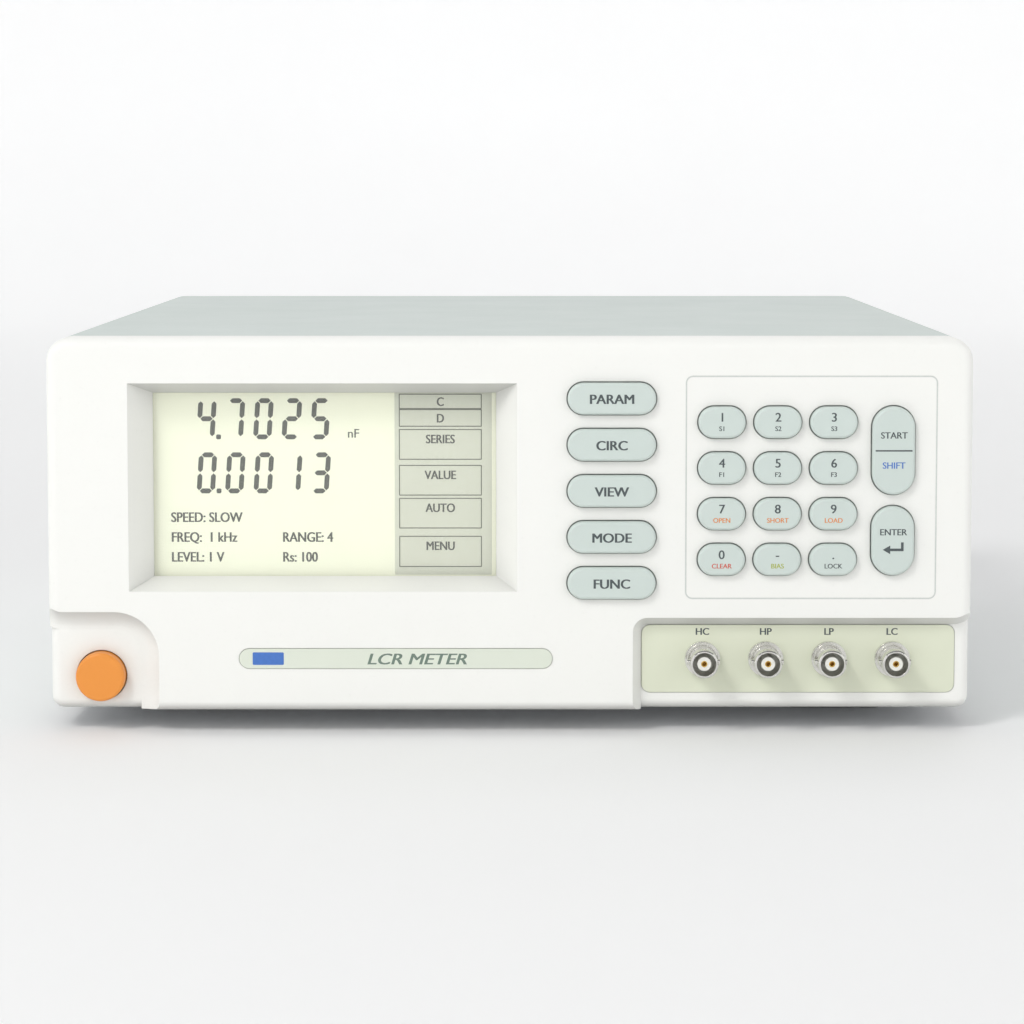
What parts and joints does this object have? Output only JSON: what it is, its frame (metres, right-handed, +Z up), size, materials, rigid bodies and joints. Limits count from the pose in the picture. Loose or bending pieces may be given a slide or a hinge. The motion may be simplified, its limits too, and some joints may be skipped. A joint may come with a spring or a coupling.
{
  "type": "component tester",
  "caption": "Bench LCR meter with a white moulded front, display, keypad, power button and bayonet test terminals, in a grey-green sheet-metal case",
  "frame": {"origin": "under the middle of the instrument, on the surface that its feet stand on", "axes": "+X right seen from the front, -Y out of the front, +Z up"},
  "size_m": [0.3232, 0.3298, 0.138],
  "materials": {
    "bezel_plastic": "fine spark-eroded texture, warm white",
    "key_plastic": "satin grey-green",
    "button_orange": "satin orange",
    "plate_film": "printed film, pale yellow-green",
    "strip_film": "printed film, pale green-grey",
    "clear_window": "clear acrylic",
    "lcd_screen": "reflective liquid-crystal panel",
    "cover_paint": "fine-textured powder coat, grey-green",
    "panel_paint": "fine-textured powder coat, grey-green",
    "zinc_steel": "zinc-plated sheet",
    "tinned_steel": "tinned sheet",
    "core_steel": "varnished laminations",
    "nickel_plate": "satin nickel plate",
    "gold_plate": "gold-flashed brass",
    "bare_aluminium": "extruded",
    "white_insulator": "waxy white",
    "black_plastic": "moulded, matte",
    "leg_plastic": "moulded, matte",
    "foot_rubber": "moulded rubber",
    "grey_rubber": "soft, matte",
    "circuit_board": "green solder mask",
    "capacitor_sleeve": "shrink sleeve",
    "coil_tape": "polyester winding tape",
    "wire_blue": "wire sleeve"
  },
  "bodies": {
    "case": {"bnc_bodies": "nickel_plate", "bnc_contacts": "gold_plate", "bnc_insulators": "white_insulator", "bnc_leads": "black_plastic", "bnc_nuts": "nickel_plate", "bnc_washers": "nickel_plate", "board_chips": "black_plastic", "board_screws": "zinc_steel", "capacitors": "capacitor_sleeve", "case_screws": "nickel_plate", "chassis_tray": "zinc_steel", "display_board": "circuit_board", "display_window": "clear_window", "earth_post": "gold_plate", "front_bezel": "bezel_plastic", "handler_port": "nickel_plate", "heat_sink": "bare_aluminium", "keypad_board": "circuit_board", "keypad_mat": "grey_rubber", "lcd_frame": "tinned_steel", "lcd_glass": "lcd_screen", "main_board": "circuit_board", "mains_inlet": "black_plastic", "mains_wires": "wire_blue", "name_strip": "strip_film", "power_switch": "black_plastic", "rear_panel": "panel_paint", "ribbon_cables": "grey_rubber", "rubber_feet": "foot_rubber", "serial_port": "nickel_plate", "shield_can": "tinned_steel", "supply_board": "circuit_board", "terminal_plate": "plate_film", "top_cover": "cover_paint", "transformer_coil": "coil_tape", "transformer_core": "core_steel"},
    "key_0_body": {"key_0": "key_plastic"},
    "key_1_body": {"key_1": "key_plastic"},
    "key_2_body": {"key_2": "key_plastic"},
    "key_3_body": {"key_3": "key_plastic"},
    "key_4_body": {"key_4": "key_plastic"},
    "key_5_body": {"key_5": "key_plastic"},
    "key_6_body": {"key_6": "key_plastic"},
    "key_7_body": {"key_7": "key_plastic"},
    "key_8_body": {"key_8": "key_plastic"},
    "key_9_body": {"key_9": "key_plastic"},
    "key_circuit_body": {"key_circuit": "key_plastic"},
    "key_display_body": {"key_display": "key_plastic"},
    "key_enter_body": {"key_enter": "key_plastic"},
    "key_function_body": {"key_function": "key_plastic"},
    "key_minus_body": {"key_minus": "key_plastic"},
    "key_mode_body": {"key_mode": "key_plastic"},
    "key_parameter_body": {"key_parameter": "key_plastic"},
    "key_point_body": {"key_point": "key_plastic"},
    "key_start_body": {"key_start": "key_plastic"},
    "power_button_body": {"power_button": "button_orange"},
    "fuse_drawer_body": {"fuse_drawer": "black_plastic", "fuses": "clear_window"},
    "tilt_leg_left_body": {"tilt_leg_left": "leg_plastic"},
    "tilt_leg_right_body": {"tilt_leg_right": "leg_plastic"}
  },
  "joints": [
    {"name": "key_0_press", "type": "slide", "parent": "case", "child": "key_0_body", "axis": [0, 1, 0], "range_m": [0, 0.0015], "stiffness_N_per_m": 300},
    {"name": "key_1_press", "type": "slide", "parent": "case", "child": "key_1_body", "axis": [0, 1, 0], "range_m": [0, 0.0015], "stiffness_N_per_m": 300},
    {"name": "key_2_press", "type": "slide", "parent": "case", "child": "key_2_body", "axis": [0, 1, 0], "range_m": [0, 0.0015], "stiffness_N_per_m": 300},
    {"name": "key_3_press", "type": "slide", "parent": "case", "child": "key_3_body", "axis": [0, 1, 0], "range_m": [0, 0.0015], "stiffness_N_per_m": 300},
    {"name": "key_4_press", "type": "slide", "parent": "case", "child": "key_4_body", "axis": [0, 1, 0], "range_m": [0, 0.0015], "stiffness_N_per_m": 300},
    {"name": "key_5_press", "type": "slide", "parent": "case", "child": "key_5_body", "axis": [0, 1, 0], "range_m": [0, 0.0015], "stiffness_N_per_m": 300},
    {"name": "key_6_press", "type": "slide", "parent": "case", "child": "key_6_body", "axis": [0, 1, 0], "range_m": [0, 0.0015], "stiffness_N_per_m": 300},
    {"name": "key_7_press", "type": "slide", "parent": "case", "child": "key_7_body", "axis": [0, 1, 0], "range_m": [0, 0.0015], "stiffness_N_per_m": 300},
    {"name": "key_8_press", "type": "slide", "parent": "case", "child": "key_8_body", "axis": [0, 1, 0], "range_m": [0, 0.0015], "stiffness_N_per_m": 300},
    {"name": "key_9_press", "type": "slide", "parent": "case", "child": "key_9_body", "axis": [0, 1, 0], "range_m": [0, 0.0015], "stiffness_N_per_m": 300},
    {"name": "key_circuit_press", "type": "slide", "parent": "case", "child": "key_circuit_body", "axis": [0, 1, 0], "range_m": [0, 0.0015], "stiffness_N_per_m": 300},
    {"name": "key_display_press", "type": "slide", "parent": "case", "child": "key_display_body", "axis": [0, 1, 0], "range_m": [0, 0.0015], "stiffness_N_per_m": 300},
    {"name": "key_enter_press", "type": "slide", "parent": "case", "child": "key_enter_body", "axis": [0, 1, 0], "range_m": [0, 0.0015], "stiffness_N_per_m": 300},
    {"name": "key_function_press", "type": "slide", "parent": "case", "child": "key_function_body", "axis": [0, 1, 0], "range_m": [0, 0.0015], "stiffness_N_per_m": 300},
    {"name": "key_minus_press", "type": "slide", "parent": "case", "child": "key_minus_body", "axis": [0, 1, 0], "range_m": [0, 0.0015], "stiffness_N_per_m": 300},
    {"name": "key_mode_press", "type": "slide", "parent": "case", "child": "key_mode_body", "axis": [0, 1, 0], "range_m": [0, 0.0015], "stiffness_N_per_m": 300},
    {"name": "key_parameter_press", "type": "slide", "parent": "case", "child": "key_parameter_body", "axis": [0, 1, 0], "range_m": [0, 0.0015], "stiffness_N_per_m": 300},
    {"name": "key_point_press", "type": "slide", "parent": "case", "child": "key_point_body", "axis": [0, 1, 0], "range_m": [0, 0.0015], "stiffness_N_per_m": 300},
    {"name": "key_start_press", "type": "slide", "parent": "case", "child": "key_start_body", "axis": [0, 1, 0], "range_m": [0, 0.0015], "stiffness_N_per_m": 300},
    {"name": "power_button_press", "type": "slide", "parent": "case", "child": "power_button_body", "axis": [0, 1, 0], "range_m": [0, 0.0035]},
    {"name": "fuse_drawer_slide", "type": "slide", "parent": "case", "child": "fuse_drawer_body", "axis": [0, 1, 0], "range_m": [0, 0.017]},
    {"name": "tilt_leg_left_fold", "type": "hinge", "parent": "case", "child": "tilt_leg_left_body", "pos_m": [-0.118, -0.10765, 0.0034], "axis": [-1, 0, 0], "range_deg": [0, 85]},
    {"name": "tilt_leg_right_fold", "type": "hinge", "parent": "case", "child": "tilt_leg_right_body", "pos_m": [0.118, -0.10765, 0.0034], "axis": [-1, 0, 0], "range_deg": [0, 85]}
  ]
}
